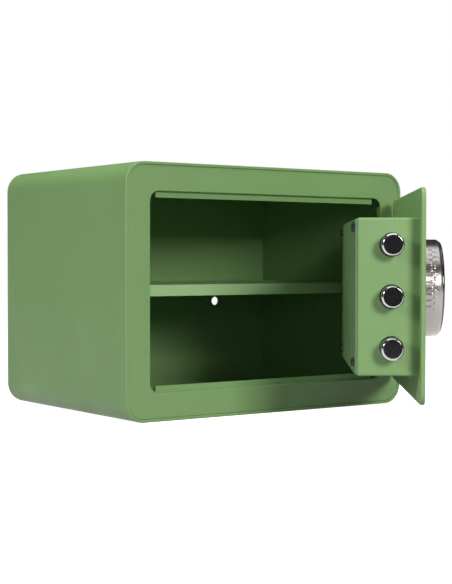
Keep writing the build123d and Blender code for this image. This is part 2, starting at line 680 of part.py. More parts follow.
# Hollow spindle: the panel's lead runs through it
spindle_front = DOOR_FRONT - socket_top
with BuildPart() as spindle:
    with BuildSketch(facing(SPINDLE_END)):
        with Locations((KNOB_X, KNOB_Z)):
            Circle(SPINDLE_RADIUS)
            Circle(SPINDLE_BORE, mode=Mode.SUBTRACT)
    extrude(amount=SPINDLE_END - spindle_front)
swing_open(spindle)
spindle.part.label = "spindle"
export_step(spindle.part, "parts/spindle.step")

pin_at_rest = (pin_x, pin_low)
with BuildPart() as cam:
    with BuildSketch(facing(CAM_BACK)):
        with Locations((KNOB_X, KNOB_Z)):
            Circle(CAM_HUB_RADIUS)
        with Locations(pin_at_rest):
            Circle(CAM_PIN_RADIUS + 2)
        with Locations((KNOB_X, KNOB_Z)):
            with PolarLocations(CAM_RADIUS / 2, 1, start_angle=90 - CAM_START_ANGLE):
                Rectangle(CAM_RADIUS, 2 * (CAM_PIN_RADIUS + 2))
        with Locations((KNOB_X, KNOB_Z)):
            Circle(SPINDLE_RADIUS, mode=Mode.SUBTRACT)
        with Locations(pin_at_rest):
            Circle(CAM_PIN_RADIUS, mode=Mode.SUBTRACT)
    extrude(amount=CAM_GAUGE)
swing_open(cam)
cam.part.label = "cam"
export_step(cam.part, "parts/cam.step")

with BuildPart() as cam_pin:
    with BuildSketch(facing(CAM_BACK)):
        with Locations(pin_at_rest):
            Circle(CAM_PIN_RADIUS)
    extrude(amount=CAM_BACK - BAR_FRONT + 1.5)
swing_open(cam_pin)
cam_pin.part.label = "cam_pin"
export_step(cam_pin.part, "parts/cam_pin.step")

with BuildPart() as spindle_clip:
    with BuildSketch(facing(CAM_BACK + CLIP_GAUGE)):
        with Locations((KNOB_X, KNOB_Z)):
            Circle(SPINDLE_RADIUS + 2.5)
            Circle(SPINDLE_RADIUS, mode=Mode.SUBTRACT)
        with Locations((KNOB_X, KNOB_Z - SPINDLE_RADIUS - 1.5)):
            Rectangle(CLIP_GAP, CLIP_GAP, mode=Mode.SUBTRACT)
    extrude(amount=CLIP_GAUGE)
swing_open(spindle_clip)
spindle_clip.part.label = "spindle_clip"
export_step(spindle_clip.part, "parts/spindle_clip.step")

# ---------------------------------------------------------------- solenoid

half_width = SOLENOID_WIDTH / 2
half_depth = SOLENOID_DEPTH / 2
plunger_bottom = PLUNGER_TOP - PLUNGER_LENGTH
with BuildPart() as solenoid_body:
    box_between(
        (SOLENOID_X - half_width, BAR_MIDDLE - half_depth, SOLENOID_BOTTOM),
        (SOLENOID_X + half_width, BAR_MIDDLE + half_depth, SOLENOID_TOP),
    )
    fillet(solenoid_body.edges().filter_by(Axis.Z), radius=1.5)
    with BuildSketch(Plane.XY.offset(plunger_bottom - 1)):
        with Locations((SOLENOID_X, BAR_MIDDLE)):
            Circle(PLUNGER_RADIUS + PIN_CLEARANCE)
    extrude(amount=SOLENOID_TOP - plunger_bottom + 1, mode=Mode.SUBTRACT)
swing_open(solenoid_body)
solenoid_body.part.label = "solenoid_body"
export_step(solenoid_body.part, "parts/solenoid_body.step")

bracket_back = BAR_MIDDLE - half_depth
with BuildPart() as solenoid_bracket:
    box_between(
        (SOLENOID_X - half_width - 9, DOOR_BACK, SOLENOID_BOTTOM + 4),
        (SOLENOID_X + half_width + 9, bracket_back, SOLENOID_TOP - 4),
    )
    fillet(solenoid_bracket.edges().filter_by(Axis.Y), radius=3)
swing_open(solenoid_bracket)
solenoid_bracket.part.label = "solenoid_bracket"
export_step(solenoid_bracket.part, "parts/solenoid_bracket.step")

with BuildPart() as solenoid_screws:
    for x in (SOLENOID_X - half_width - 4.5, SOLENOID_X + half_width + 4.5):
        with BuildSketch(facing(bracket_back + 2)):
            with Locations((x, (SOLENOID_BOTTOM + SOLENOID_TOP) / 2)):
                Circle(3)
                RegularPolygon(1.4, 6, mode=Mode.SUBTRACT)
        extrude(amount=2)
swing_open(solenoid_screws)
solenoid_screws.part.label = "solenoid_screws"
export_step(solenoid_screws.part, "parts/solenoid_screws.step")

with BuildPart() as plunger:
    with BuildSketch(Plane.XY.offset(plunger_bottom)):
        with Locations((SOLENOID_X, BAR_MIDDLE)):
            Circle(PLUNGER_RADIUS)
    extrude(amount=PLUNGER_LENGTH)
    chamfer(plunger.edges().group_by(Axis.Z)[-1], length=0.6)
    with BuildSketch(Plane.XY.offset(COLLAR_TOP)):
        with Locations((SOLENOID_X, BAR_MIDDLE)):
            Circle(COLLAR_RADIUS)
    extrude(amount=-COLLAR_GAUGE)
swing_open(plunger)
plunger.part.label = "plunger"
export_step(plunger.part, "parts/plunger.step")

# Closed coil spring between the solenoid's top and the plunger's collar
spring_height = COLLAR_TOP - COLLAR_GAUGE - SOLENOID_TOP - 2 * SPRING_WIRE
with BuildPart() as plunger_spring:
    with BuildLine():
        coil = Helix(
            pitch=spring_height / SPRING_TURNS,
            height=spring_height,
            radius=SPRING_RADIUS,
            center=(SOLENOID_X, BAR_MIDDLE, SOLENOID_TOP + SPRING_WIRE),
        )
    with BuildSketch(Plane(origin=coil @ 0, z_dir=coil % 0)):
        Circle(SPRING_WIRE)
    sweep(is_frenet=True)
swing_open(plunger_spring)
plunger_spring.part.label = "plunger_spring"
export_step(plunger_spring.part, "parts/plunger_spring.step")

# ---------------------------------------------------------------- electronics

board_corners = [
    (x, z)
    for x in (BOARD_LEFT + BOARD_HOLE_INSET, BOARD_RIGHT - BOARD_HOLE_INSET)
    for z in (BOARD_BOTTOM + BOARD_HOLE_INSET, BOARD_TOP - BOARD_HOLE_INSET)
]
with BuildPart() as circuit_board:
    box_between((BOARD_LEFT, BOARD_FRONT, BOARD_BOTTOM), (BOARD_RIGHT, BOARD_BACK, BOARD_TOP))
    for (x, z), width, height, thickness in (
        (BATTERY_PLUG, PLUG_LENGTH, PLUG_WIDTH, PLUG_HEIGHT),
        (SOLENOID_PLUG, PLUG_LENGTH, PLUG_WIDTH, PLUG_HEIGHT),
        (PANEL_PLUG, PLUG_LENGTH, PLUG_WIDTH, PLUG_HEIGHT),
        (CHIP_PLACE, CHIP_SIZE, CHIP_SIZE, CHIP_HEIGHT),
        ((RESET_X, RESET_Z), SWITCH_SIZE, SWITCH_SIZE, SWITCH_HEIGHT),
    ):
        box_between(
            (x - width / 2, BOARD_BACK, z - height / 2),
            (x + width / 2, BOARD_BACK + thickness, z + height / 2),
        )
swing_open(circuit_board)
circuit_board.part.label = "circuit_board"
export_step(circuit_board.part, "parts/circuit_board.step")

with BuildPart() as board_standoffs:
    with BuildSketch(facing(BOARD_FRONT)):
        with Locations(*board_corners):
            Circle(3)
    extrude(amount=BOARD_STANDOFF)
swing_open(board_standoffs)
board_standoffs.part.label = "board_standoffs"
export_step(board_standoffs.part, "parts/board_standoffs.step")

with BuildPart() as battery_tray:
    box_between((TRAY_LEFT, TRAY_FRONT, TRAY_BOTTOM), (TRAY_RIGHT, BOX_BACK, TRAY_TOP))
    box_between(
        (TRAY_LEFT + TRAY_WALL, TRAY_FRONT + TRAY_WALL, TRAY_BOTTOM + TRAY_WALL),
        (TRAY_RIGHT - TRAY_WALL, BOX_BACK, TRAY_TOP - TRAY_WALL),
        mode=Mode.SUBTRACT,
    )
swing_open(battery_tray)
battery_tray.part.label = "battery_tray"
export_step(battery_tray.part, "parts/battery_tray.step")

cell_pitch = (TRAY_TOP - TRAY_BOTTOM - 2 * TRAY_WALL) / CELL_COUNT
cell_y = TRAY_FRONT + TRAY_WALL + CELL_RADIUS
cell_left = (TRAY_LEFT + TRAY_RIGHT - CELL_LENGTH) / 2
cell_zs = [TRAY_BOTTOM + TRAY_WALL + (index + 0.5) * cell_pitch for index in range(CELL_COUNT)]
with BuildPart() as batteries:
    with BuildSketch(Plane.YZ.offset(cell_left)):
        with Locations(*[(cell_y, z) for z in cell_zs]):
            Circle(CELL_RADIUS)
    extrude(amount=CELL_LENGTH)
    with BuildSketch(Plane.YZ.offset(cell_left + CELL_LENGTH)):
        with Locations(*[(cell_y, z) for z in cell_zs]):
            Circle(CELL_TIP_RADIUS)
    extrude(amount=CELL_TIP_LENGTH)
swing_open(batteries)
batteries.part.label = "batteries"
export_step(batteries.part, "parts/batteries.step")

with BuildPart() as battery_contacts:
    for z in cell_zs:
        for x_low, x_high in (
            (TRAY_LEFT + TRAY_WALL, cell_left),
            (cell_left + CELL_LENGTH + CELL_TIP_LENGTH, TRAY_RIGHT - TRAY_WALL),
        ):
            box_between(
                (x_low, cell_y - CONTACT_HALF, z - CONTACT_HALF),
                (x_high, cell_y + CONTACT_HALF, z + CONTACT_HALF),
            )
swing_open(battery_contacts)
battery_contacts.part.label = "battery_contacts"
export_step(battery_contacts.part, "parts/battery_contacts.step")

with BuildPart() as battery_lid:
    with BuildSketch(facing(COVER_BACK)):
        with Locations(lid_centre):
            RectangleRounded(lid_width - 2 * SLOT_CLEARANCE, lid_height - 2 * SLOT_CLEARANCE, 1.8)
    extrude(amount=BOX_GAUGE)
    with BuildSketch(facing(COVER_BACK)):
        with Locations((lid_centre[0] + lid_width / 2 - LID_GRIP_INSET, lid_centre[1])):
            SlotOverall(*LID_GRIP, rotation=90)
    extrude(amount=LID_GRIP_DEPTH, mode=Mode.SUBTRACT)
swing_open(battery_lid)
battery_lid.part.label = "battery_lid"
export_step(battery_lid.part, "parts/battery_lid.step")

with BuildPart() as reset_button:
    with BuildSketch(facing(COVER_BACK - RESET_SUNK)):
        with Locations((RESET_X, RESET_Z)):
            Circle(RESET_RADIUS)
    extrude(amount=COVER_BACK - RESET_SUNK - BOARD_BACK - SWITCH_HEIGHT - SWITCH_STROKE)
    fillet(reset_button.edges().group_by(Axis.Y)[-1], radius=0.8)
swing_open(reset_button)
reset_button.part.label = "reset_button"
export_step(reset_button.part, "parts/reset_button.step")


# Leads, each clipped between two housings: straight runs joined by arcs
plug_y = BOARD_BACK + PLUG_HEIGHT
battery_lead_y = TRAY_FRONT + 6
wire_routes = {
    "panel_lead": (
        [
            (KNOB_X, DOOR_FRONT - socket_top + 1, KNOB_Z),
            (KNOB_X, PANEL_LEAD_Y, KNOB_Z),
            (PANEL_PLUG[0], PANEL_LEAD_Y, PANEL_PLUG[1]),
            (PANEL_PLUG[0], plug_y, PANEL_PLUG[1]),
        ],
        7.0,
    ),
    "battery_lead": (
        [
            (BATTERY_PLUG[0], battery_lead_y, TRAY_TOP),
            (BATTERY_PLUG[0], battery_lead_y, BATTERY_PLUG[1]),
            (BATTERY_PLUG[0], plug_y, BATTERY_PLUG[1]),
        ],
        5.0,
    ),
    "solenoid_lead": (
        [
            (SOLENOID_X + half_width, BAR_MIDDLE, SOLENOID_LEAD_Z),
            (SOLENOID_PLUG[0], BAR_MIDDLE, SOLENOID_LEAD_Z),
            (SOLENOID_PLUG[0], BAR_MIDDLE, SOLENOID_PLUG[1] - PLUG_WIDTH / 2),
        ],
        8.0,
    ),
}
for name, (route, bend) in wire_routes.items():
    with BuildPart() as lead:
        with BuildLine():
            path = FilletPolyline(*route, radius=bend)
        with BuildSketch(Plane(origin=path @ 0, z_dir=path % 0)):
            Circle(WIRE_RADIUS)
        sweep()
    swing_open(lead)
    lead.part.label = name
    export_step(lead.part, f"parts/{name}.step")
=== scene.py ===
"""Looks of a small home safe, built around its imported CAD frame. Metres, +Z up, front towards -Y."""

import json
import math

import bmesh
import bpy
from mathutils import Euler, Matrix, Vector


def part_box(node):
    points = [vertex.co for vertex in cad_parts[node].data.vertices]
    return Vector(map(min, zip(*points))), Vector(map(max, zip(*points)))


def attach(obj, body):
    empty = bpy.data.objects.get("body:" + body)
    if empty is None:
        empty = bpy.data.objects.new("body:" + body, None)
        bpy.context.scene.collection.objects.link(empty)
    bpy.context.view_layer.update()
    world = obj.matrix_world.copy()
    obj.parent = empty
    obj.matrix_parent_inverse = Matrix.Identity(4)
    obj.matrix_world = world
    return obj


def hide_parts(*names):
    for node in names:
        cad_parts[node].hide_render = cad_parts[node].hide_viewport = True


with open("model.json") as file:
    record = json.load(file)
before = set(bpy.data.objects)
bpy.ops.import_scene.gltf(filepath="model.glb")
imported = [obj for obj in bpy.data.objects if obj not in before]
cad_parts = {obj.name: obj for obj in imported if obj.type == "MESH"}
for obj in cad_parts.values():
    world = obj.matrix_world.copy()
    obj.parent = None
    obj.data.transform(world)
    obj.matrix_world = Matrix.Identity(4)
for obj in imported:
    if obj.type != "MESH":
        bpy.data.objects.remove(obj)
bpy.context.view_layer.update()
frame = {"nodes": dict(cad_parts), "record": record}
MM = 0.001
JOINTS = {joint["name"]: joint for joint in frame["record"]["behaviour"]["joints"]}


# ---------------------------------------------------------------- shader helpers


class Shader:
    """A node material with one Principled shader, and short ways to add and join nodes."""

    def __init__(self, name):
        self.material = bpy.data.materials.new(name)
        self.material.use_nodes = True
        self.tree = self.material.node_tree
        self.tree.nodes.clear()
        self.output = self.tree.nodes.new("ShaderNodeOutputMaterial")
        self.surface = self.add("BsdfPrincipled")
        self.join(self.surface.outputs["BSDF"], self.output.inputs["Surface"])
        self.place = self.add("TexCoord").outputs["Object"]

    def add(self, kind, **settings):
        node = self.tree.nodes.new("ShaderNode" + kind)
        for name, value in settings.items():
            setattr(node, name, value)
        return node

    def join(self, output, socket):
        self.tree.links.new(output, socket)

    def set(self, **values):
        """Values on the Principled shader's own sockets; underscores stand for spaces."""
        for name, value in values.items():
            self.surface.inputs[name.replace("_", " ")].default_value = value

    def noise(self, scale, detail=4.0, roughness=0.55, vector=None):
        node = self.add("TexNoise")
        node.inputs["Scale"].default_value = scale
        node.inputs["Detail"].default_value = detail
        node.inputs["Roughness"].default_value = roughness
        self.join(vector or self.place, node.inputs["Vector"])
        return node.outputs["Fac"]

    def stretched(self, factors):
        """Object coordinates multiplied along each axis."""
        node = self.add("Mapping")
        node.inputs["Scale"].default_value = factors
        self.join(self.place, node.inputs["Vector"])
        return node.outputs["Vector"]

    def ramp(self, fac, stops):
        """A colour ramp through (position, colour) stops; a number stands for a grey."""
        node = self.add("ValToRGB")
        elements = node.color_ramp.elements
        while len(elements) < len(stops):
            elements.new(0.5)
        for element, (position, colour) in zip(elements, stops):
            element.position = position
            element.color = (*colour, 1) if isinstance(colour, tuple) else (colour, colour, colour, 1)
        self.join(fac, node.inputs["Fac"])
        return node.outputs["Color"]

    def mix(self, fac, first, second, blend="MIX"):
        """Blend two colours; each is a socket or an RGB triple, fac a socket or a number."""
        node = self.add("Mix", data_type="RGBA", blend_type=blend)
        for value, socket in ((fac, node.inputs[0]), (first, node.inputs[6]), (second, node.inputs[7])):
            if isinstance(value, bpy.types.NodeSocket):
                self.join(value, socket)
            elif isinstance(value, tuple):
                socket.default_value = (*value, 1)
            else:
                socket.default_value = value
        return node.outputs[2]

    def math(self, operation, first, second=0.0):
        node = self.add("Math", operation=operation)
        for value, socket in ((first, node.inputs[0]), (second, node.inputs[1])):
            if isinstance(value, bpy.types.NodeSocket):
                self.join(value, socket)
            else:
                socket.default_value = value
        return node.outputs[0]

    def bump(self, height, distance, strength=1.0, normal=None):
        node = self.add("Bump")
        node.inputs["Strength"].default_value = strength
        node.inputs["Distance"].default_value = distance
        self.join(height, node.inputs["Height"])
        if normal is not None:
            self.join(normal, node.inputs["Normal"])
        return node.outputs["Normal"]

    def edge_mask(self, radius):
        """Near 1 close to sharp edges and 0 on flats, where a rounded normal is the real one."""
        bevel = self.add("Bevel", samples=4)
        bevel.inputs["Radius"].default_value = radius
        geometry = self.add("NewGeometry")
        dot = self.add("VectorMath", operation="DOT_PRODUCT")
        self.join(bevel.outputs["Normal"], dot.inputs[0])
        self.join(geometry.outputs["Normal"], dot.inputs[1])
        return self.ramp(dot.outputs["Value"], ((0.75, 1.0), (0.97, 0.0)))


# ---------------------------------------------------------------- materials


def powder_coat(name, colour):
    """Fine-textured satin powder coat: orange peel, faint blotches, dust and a patchy painted highlight
    along the edges.
    """
    s = Shader(name)
    dark = tuple(0.95 * channel for channel in colour)
    light = tuple(1.05 * channel for channel in colour)
    blotch = s.ramp(s.noise(scale=9.0, detail=3.0), ((0.35, dark), (0.65, light)))
    speck = s.ramp(s.noise(scale=1400.0, detail=2.0), ((0.40, 0.90), (0.60, 1.0)))
    paint = s.mix(0.5, colour, blotch)
    paint = s.mix(0.35, paint, speck, blend="MULTIPLY")
    # Painted highlight: a lighter colour in patches along sharp edges, where light catches them
    patches = s.ramp(s.noise(scale=60.0, detail=5.0), ((0.35, 0.15), (0.65, 0.7)))
    edge_highlight = s.math("MULTIPLY", s.edge_mask(radius=0.9 * MM), patches)
    highlight_colour = tuple(min(1.0, channel * 1.45 + 0.03) for channel in colour)
    s.join(s.mix(edge_highlight, paint, highlight_colour), s.surface.inputs["Base Color"])
    gloss = s.ramp(s.noise(scale=30.0, detail=5.0), ((0.3, 0.44), (0.7, 0.56)))
    s.join(gloss, s.surface.inputs["Roughness"])
    peel = s.bump(s.noise(scale=620.0, detail=2.5), distance=0.05 * MM, strength=0.55)
    grit = s.bump(s.noise(scale=2600.0, detail=1.0), distance=0.02 * MM, strength=0.5, normal=peel)
    s.join(grit, s.surface.inputs["Normal"])
    s.set(Specular_IOR_Level=0.42)
    return s.material


def turned_metal(name, colour, roughness, ring_scale, anisotropy, scratch_depth):
    """Metal turned about its own Z axis: fine rings that follow the tool, scratches and faint smudges."""
    s = Shader(name)
    split = s.add("SeparateXYZ")
    s.join(s.place, split.inputs[0])
    squares = [s.math("POWER", split.outputs[axis], 2.0) for axis in (0, 1)]
    radius = s.math("SQRT", s.math("ADD", *squares))
    join = s.add("CombineXYZ")
    s.join(radius, join.inputs[0])
    s.join(split.outputs[2], join.inputs[1])
    rings = s.noise(scale=ring_scale, detail=3.0, roughness=0.6, vector=join.outputs[0])
    smudge = s.noise(scale=45.0)
    s.join(s.mix(smudge, tuple(0.9 * c for c in colour), colour), s.surface.inputs["Base Color"])
    rough = s.ramp(rings, ((0.3, roughness * 0.75), (0.7, roughness * 1.3)))
    s.join(rough, s.surface.inputs["Roughness"])
    turning = s.bump(rings, distance=0.01 * MM, strength=0.4)
    streaks = s.stretched((220.0, 1900.0, 220.0))
    scratches = s.noise(scale=1.0, roughness=0.7, vector=streaks)
    scratched = s.bump(scratches, distance=scratch_depth * MM, strength=0.5, normal=turning)
    s.join(scratched, s.surface.inputs["Normal"])
    tangent = s.add("Tangent", direction_type="RADIAL", axis="Z")
    s.join(tangent.outputs[0], s.surface.inputs["Tangent"])
    s.set(Metallic=1.0, Anisotropic=anisotropy, Anisotropic_Rotation=0.25)
    return s.material


def plated_steel(name, colour, roughness):
    """Zinc plate: crystalline mottling, and brighter rubbed edges."""
    s = Shader(name)
    grain = s.noise(scale=220.0, detail=6.0, roughness=0.7)
    base = s.mix(grain, tuple(0.72 * c for c in colour), colour)
    base = s.mix(s.edge_mask(radius=0.5 * MM), base, tuple(min(1.0, 1.25 * c) for c in colour))
    s.join(base, s.surface.inputs["Base Color"])
    rough = s.ramp(s.noise(scale=80.0), ((0.3, roughness * 0.8), (0.7, roughness * 1.25)))
    s.join(rough, s.surface.inputs["Roughness"])
    s.join(s.bump(grain, distance=0.02 * MM, strength=0.5), s.surface.inputs["Normal"])
    s.set(Metallic=1.0)
    return s.material


def moulded(name, colour, roughness, grain_scale=1500.0, coat=0.0):
    """Moulded plastic or rubber: spark-eroded grain, with uneven gloss from handling."""
    s = Shader(name)
    tone = s.noise(scale=70.0)
    s.join(s.mix(tone, tuple(0.8 * c for c in colour), colour), s.surface.inputs["Base Color"])
    rough = s.ramp(s.noise(scale=25.0), ((0.3, roughness * 0.8), (0.7, roughness * 1.2)))
    s.join(rough, s.surface.inputs["Roughness"])
    grain = s.noise(scale=grain_scale, detail=2.0)
    s.join(s.bump(grain, distance=0.015 * MM, strength=0.5), s.surface.inputs["Normal"])
    s.set(Coat_Weight=coat, Coat_Roughness=0.05)
    return s.material


def board_mask(name):
    """Green solder mask with paler tracks beneath it."""
    s = Shader(name)
    tracks = s.add("TexBrick", offset=0.5)
    for socket, value in (("Scale", 160.0), ("Mortar Size", 0.06)):
        tracks.inputs[socket].default_value = value
    tracks.inputs["Color1"].default_value = (0.02, 0.12, 0.05, 1)
    tracks.inputs["Color2"].default_value = (0.02, 0.10, 0.045, 1)
    tracks.inputs["Mortar"].default_value = (0.07, 0.26, 0.10, 1)
    s.join(s.place, tracks.inputs["Vector"])
    s.join(tracks.outputs["Color"], s.surface.inputs["Base Color"])
    s.join(s.ramp(s.noise(scale=90.0), ((0.3, 0.25), (0.7, 0.4))), s.surface.inputs["Roughness"])
    return s.material


# One green in three copies: plain on the body, lighter on the shelf as painted light, and darker on the
# lock box's cover and battery lid as painted shade
GREEN = (0.186, 0.345, 0.122)
LIT_GREEN = (0.380, 0.640, 0.280)
SHADED_GREEN = (0.110, 0.205, 0.080)
SHELL_PAINT = powder_coat("shell_paint", GREEN)
DOOR_PAINT = powder_coat("door_paint", GREEN)
SHELF_LIT_PAINT = powder_coat("shelf_paint_lit", LIT_GREEN)
COVER_SHADED_PAINT = powder_coat("cover_paint_shaded", SHADED_GREEN)
CHROME = turned_metal(
    "chrome", (0.40, 0.395, 0.41), 0.09, ring_scale=1500.0, anisotropy=0.0, scratch_depth=0.03
)
KNOB_METAL = turned_metal(
    "knob_metal", (0.31, 0.295, 0.285), 0.34, ring_scale=700.0, anisotropy=0.7, scratch_depth=0.004
)
STEEL = plated_steel("plain_steel", (0.58, 0.58, 0.58), 0.32)
BRASS = plated_steel("brass", (0.74, 0.56, 0.26), 0.25)
CASE = plated_steel("solenoid_case", (0.66, 0.60, 0.34), 0.30)
BLACK_SCREW = plated_steel("black_screw", (0.035, 0.035, 0.038), 0.38)
BLACK_PANEL = moulded("black_panel", (0.012, 0.012, 0.014), 0.12, grain_scale=300.0, coat=0.6)
BLACK_PLASTIC = moulded("black_plastic", (0.030, 0.030, 0.032), 0.5)
CELL_WRAP = moulded("cell_wrap", (0.06, 0.07, 0.09), 0.3, grain_scale=600.0, coat=0.2)
BUTTON = moulded("button_plastic", (0.50, 0.03, 0.025), 0.35)
LEAD = moulded("lead", (0.04, 0.04, 0.045), 0.45)
BOARD = board_mask("board")
DIGIT = moulded("digit_ink", (0.75, 0.78, 0.80), 0.4)

SLOT_MATERIALS = {
    "shell_paint": SHELL_PAINT,
    "door_paint": DOOR_PAINT,
    "chrome": CHROME,
    "knob_metal": KNOB_METAL,
    "plain_steel": STEEL,
    "black_screw": BLACK_SCREW,
    "black_panel": BLACK_PANEL,
    "black_plastic": BLACK_PLASTIC,
    "brass": BRASS,
    "solenoid_case": CASE,
    "board": BOARD,
    "cell_wrap": CELL_WRAP,
    "button_plastic": BUTTON,
    "lead": LEAD,
}
# The shelf gets the green with painted light; the lock box's cover and battery lid get the green with
# painted shade
LIT_AND_SHADED_PAINTS = {"shelf": SHELF_LIT_PAINT, "lock_cover": COVER_SHADED_PAINT, "battery_lid": COVER_SHADED_PAINT}
for part in frame["record"]["subparts"]:
    node_name = part["node"]
    for material_slot in frame["nodes"][node_name].material_slots:
        material_slot.material = LIT_AND_SHADED_PAINTS.get(node_name, SLOT_MATERIALS[part["material_slot"]])


# ---------------------------------------------------------------- turned pieces

ON_AXIS = 1e-6
SHARP_ANGLE = math.radians(35)


def outward_frame(point, axis):
    """Matrix that puts a piece's own Z along axis, its X level, and its origin at point."""
    z = Vector(axis).normalized()
    x = Vector((0, 0, 1)).cross(z).normalized()
    y = z.cross(x)
    matrix = Matrix((x, y, z)).transposed().to_4x4()
    matrix.translation = point
    return matrix


def lathe(name, profile, steps, shape=None):
    """Closed mesh turned about Z from (radius, height) points in mm. Points on the axis close it.

    shape(radius, height, angle) may move a point to another radius.
    """
    mesh = bmesh.new()
    rings = []
    for radius, height in profile:
        if radius < ON_AXIS:
            rings.append([mesh.verts.new((0, 0, height * MM))])
            continue
        ring = []
        for step in range(steps):
            angle = math.tau * step / steps
            r = shape(radius, height, angle) if shape else radius
            ring.append(mesh.verts.new((r * math.cos(angle) * MM, r * math.sin(angle) * MM, height * MM)))
        rings.append(ring)
    for low, high in zip(rings, rings[1:]):
        for step in range(steps):
            after = (step + 1) % steps
            if len(low) == 1:
                mesh.faces.new((low[0], high[step], high[after]))
            elif len(high) == 1:
                mesh.faces.new((low[step], high[0], low[after]))
            else:
                mesh.faces.new((low[step], high[step], high[after], low[after]))
    bmesh.ops.recalc_face_normals(mesh, faces=mesh.faces)
    return add_piece(name, mesh)


def add_piece(name, mesh):
    """Turn a bmesh into an object with smooth faces, sharp where they meet at more than SHARP_ANGLE."""
    data = bpy.data.meshes.new(name)
    mesh.to_mesh(data)
    mesh.free()
    data.shade_smooth()
    data.set_sharp_from_angle(angle=SHARP_ANGLE)
    piece = bpy.data.objects.new(name, data)
    bpy.context.scene.collection.objects.link(piece)
    return piece


def finish_piece(piece, material, slot, body, *replaced):
    """Give a piece its material, say which CAD nodes it replaces, and let it ride a body. The slot is not
    used.
    """
    piece.data.materials.append(material)
    if replaced:
        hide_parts(*replaced)
    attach(piece, body)


def arc_points(centre, radius, start, end, count):
    """Points in (radius, height) on a round corner, by angles in degrees."""
    points = []
    for index in range(count + 1):
        angle = math.radians(start + (end - start) * index / count)
        points.append((centre[0] + radius * math.cos(angle), centre[1] + radius * math.sin(angle)))
    return points


def node_centre(node):
    low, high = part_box(node)
    return (low + high) / 2


# Bolts: plated round bars with a bevelled nose, a flat end and slightly rounded edges
BOLT_AXIS = Vector(JOINTS["bolt_slide"]["axis"]).normalized()
BOLT_RADIUS = 10.0
BOLT_LENGTH = 50.0
NOSE_BEVEL = 1.3
TAIL_BEVEL = 0.5
SHOULDER_IN, SHOULDER_LONG = 0.08, 0.25
TIP_IN, TIP_OUT, TIP_DEEP = 0.15, 0.12, 0.1
TIP_FLAT = 0.5
BOLT_STEPS = 96


def make_bolt(place):
    nose = BOLT_RADIUS - NOSE_BEVEL
    half = BOLT_LENGTH / 2
    profile = [(0, -half), (BOLT_RADIUS - TAIL_BEVEL, -half), (BOLT_RADIUS, -half + TAIL_BEVEL)]
    profile += [(BOLT_RADIUS, half - NOSE_BEVEL - SHOULDER_LONG)]
    profile += [(BOLT_RADIUS - SHOULDER_IN, half - NOSE_BEVEL)]
    profile += [(nose + TIP_OUT, half - TIP_DEEP), (nose - TIP_IN, half)]
    profile += [(nose - TIP_FLAT, half), (0, half)]
    bolt = lathe(f"bolt_{place}_turned", profile, BOLT_STEPS)
    bolt.matrix_world = outward_frame(node_centre(f"bolt_{place}"), BOLT_AXIS)
    finish_piece(bolt, CHROME, "chrome", "bolt_work", f"bolt_{place}")


for bolt_place in ("upper", "middle", "lower"):
    make_bolt(bolt_place)


# Knob: turned ring with three arcs of small raised points to grip, and a black touch panel with digits
KNOB_AXIS = Vector(JOINTS["knob_turn"]["axis"]).normalized()
KNOB_CENTRE = Vector(JOINTS["knob_turn"]["pos_m"])
KNOB_FRAME = outward_frame(KNOB_CENTRE, KNOB_AXIS)
KNOB_RADIUS = 47.3
KNOB_BORE = 8.0
KNOB_BACK = 1.5
KNOB_RIM = 25.4
KNOB_STEPS = 720
BACK_BEVEL_IN, BACK_BEVEL_UP = 1.2, 1.0
RIM_SHOULDER = ((0, -0.9), (0.1, -0.3), (0.35, 0.1))
RIM_CREST = ((0.7, 1.5), (0.3, 1.6))
PANEL_RADIUS = 45.0
PANEL_TOP = 29.0
PANEL_SEAT = KNOB_RIM - 1.8
PANEL_BACK = KNOB_RIM - 1.7
PANEL_GAP = 0.05
GAP_TOP = KNOB_RIM + 1.4
PANEL_EDGE = 1.8
PANEL_STEPS = 192
GROOVE_OUTER, GROOVE_MIDDLE, GROOVE_INNER = 4.0, 4.6, 5.2
GROOVE_DEPTH = 0.25

# Grip: heights of the two rows in mm, the points' pitch and the arcs in degrees about the knob's axis
GRIP_ROWS = (16.4, 19.5)
GRIP_PITCH = 7.15
GRIP_HALF_WIDTH, GRIP_HALF_LENGTH = 1.55, 1.25
GRIP_HEIGHT = 0.3
GRIP_STEEPNESS = 1.6
GRIP_ARC_HALF = 39.0
GRIP_ARC_MIDDLES = (165.0, 285.0, 45.0)
GRIP_LEVELS = 28
SIDE_RADIUS = KNOB_RADIUS - GRIP_HEIGHT
SAME_RADIUS = 0.01


def turn_between(angle, other):
    """Degrees from other to angle, the short way round."""
    return (angle - other + 180) % 360 - 180


def grip(radius, height, angle):
    """Radius of the knob's side: plain, with a low round point at each place of the grip's two rows."""
    if abs(radius - SIDE_RADIUS) > SAME_RADIUS:
        return radius
    degrees = math.degrees(angle)
    along = min((turn_between(degrees, middle) for middle in GRIP_ARC_MIDDLES), key=abs)
    if abs(along) > GRIP_ARC_HALF:
        return radius
    rise = 0.0
    for row, row_height in enumerate(GRIP_ROWS):
        from_point = (along + (1 - row) * GRIP_PITCH / 2) % GRIP_PITCH - GRIP_PITCH / 2
        across = math.radians(from_point) * KNOB_RADIUS / GRIP_HALF_WIDTH
        along_axis = (height - row_height) / GRIP_HALF_LENGTH
        rise = max(rise, 1 - across**2 - along_axis**2)
    return radius + GRIP_HEIGHT * min(1.0, GRIP_STEEPNESS * rise)


